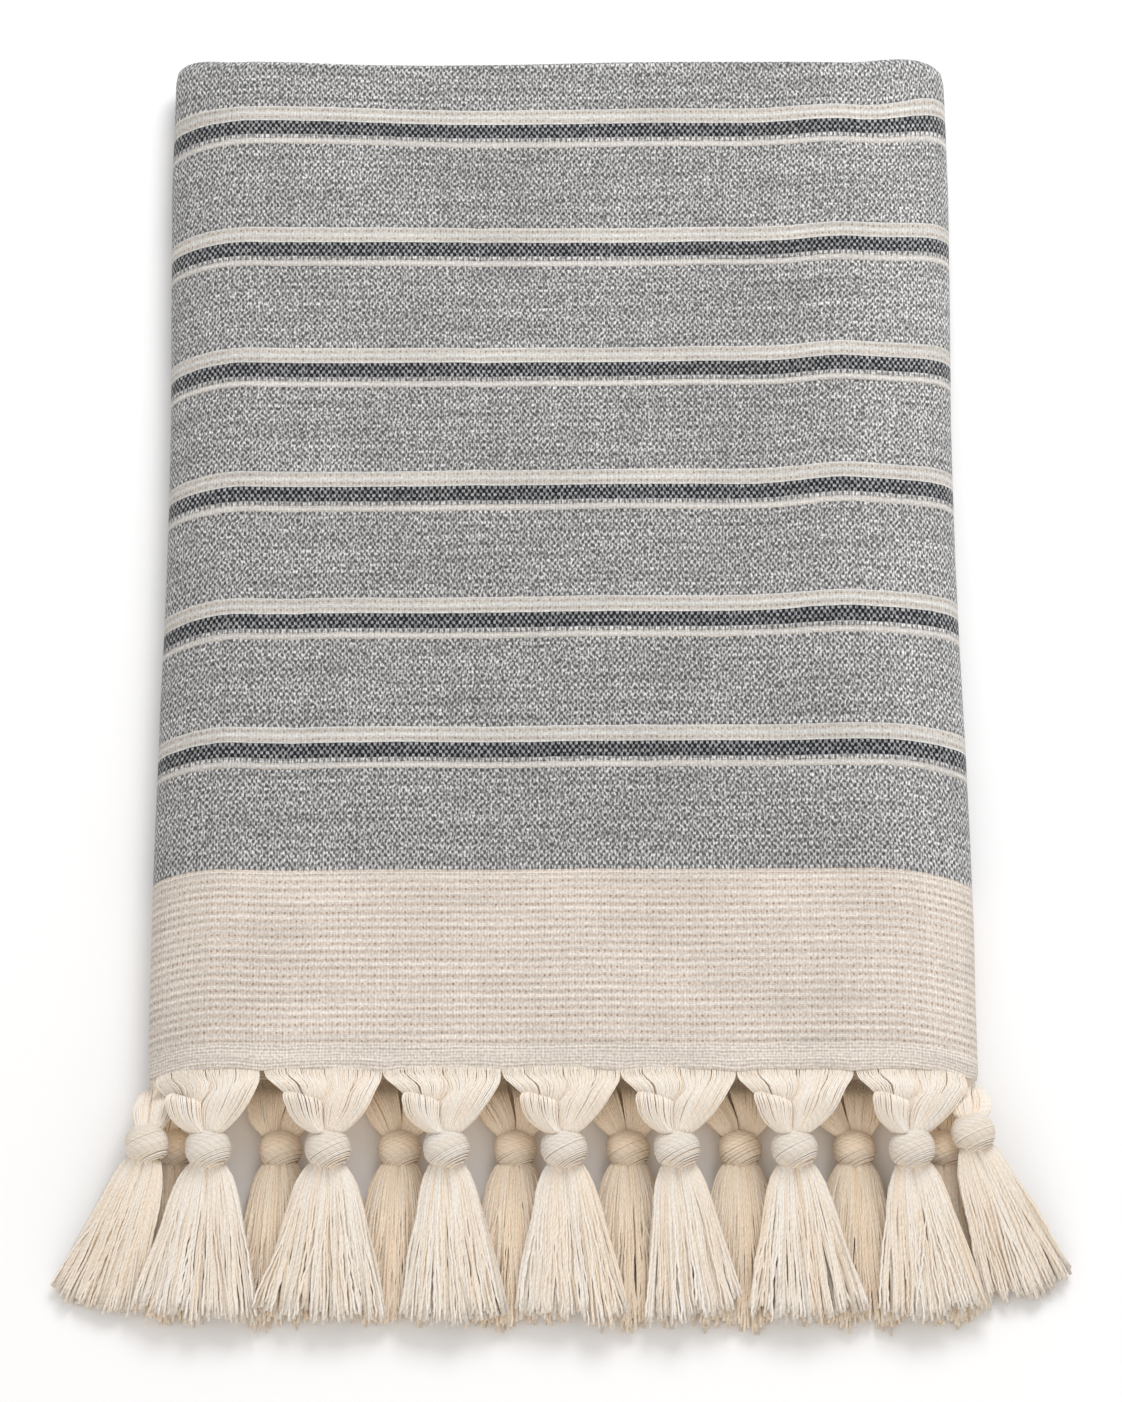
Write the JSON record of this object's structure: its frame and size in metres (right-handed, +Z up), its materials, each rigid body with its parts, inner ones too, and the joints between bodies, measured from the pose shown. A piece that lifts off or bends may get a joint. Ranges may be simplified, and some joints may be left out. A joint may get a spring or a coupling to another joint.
{
  "type": "folded hammam towel",
  "caption": "Flat-woven striped cotton bath towel lying folded, its sides wrapped behind, with a row of knotted tassels along the hem.",
  "frame": {"origin": "on the surface it lies on, under the middle of the folded towel with its tassels", "axes": "+X across the towel to the right, +Y from the tasselled hem to the far fold, +Z up"},
  "size_m": [0.395, 0.5548, 0.0357],
  "materials": {
    "towel_cloth": "flat woven cotton, grey with cream and dark stripes",
    "tassel_yarn": "cream cotton yarn"
  },
  "bodies": {
    "root": {"cloth": "towel_cloth", "tassel_front_1": "tassel_yarn", "tassel_front_2": "tassel_yarn", "tassel_front_3": "tassel_yarn", "tassel_front_4": "tassel_yarn", "tassel_front_5": "tassel_yarn", "tassel_front_6": "tassel_yarn", "tassel_front_7": "tassel_yarn", "tassel_side_left": "tassel_yarn", "tassel_side_right": "tassel_yarn", "tassel_back_1": "tassel_yarn", "tassel_back_2": "tassel_yarn", "tassel_back_3": "tassel_yarn", "tassel_back_4": "tassel_yarn", "tassel_back_5": "tassel_yarn", "tassel_back_6": "tassel_yarn", "tassel_back_7": "tassel_yarn", "tassel_back_8": "tassel_yarn"}
  },
  "joints": []
}
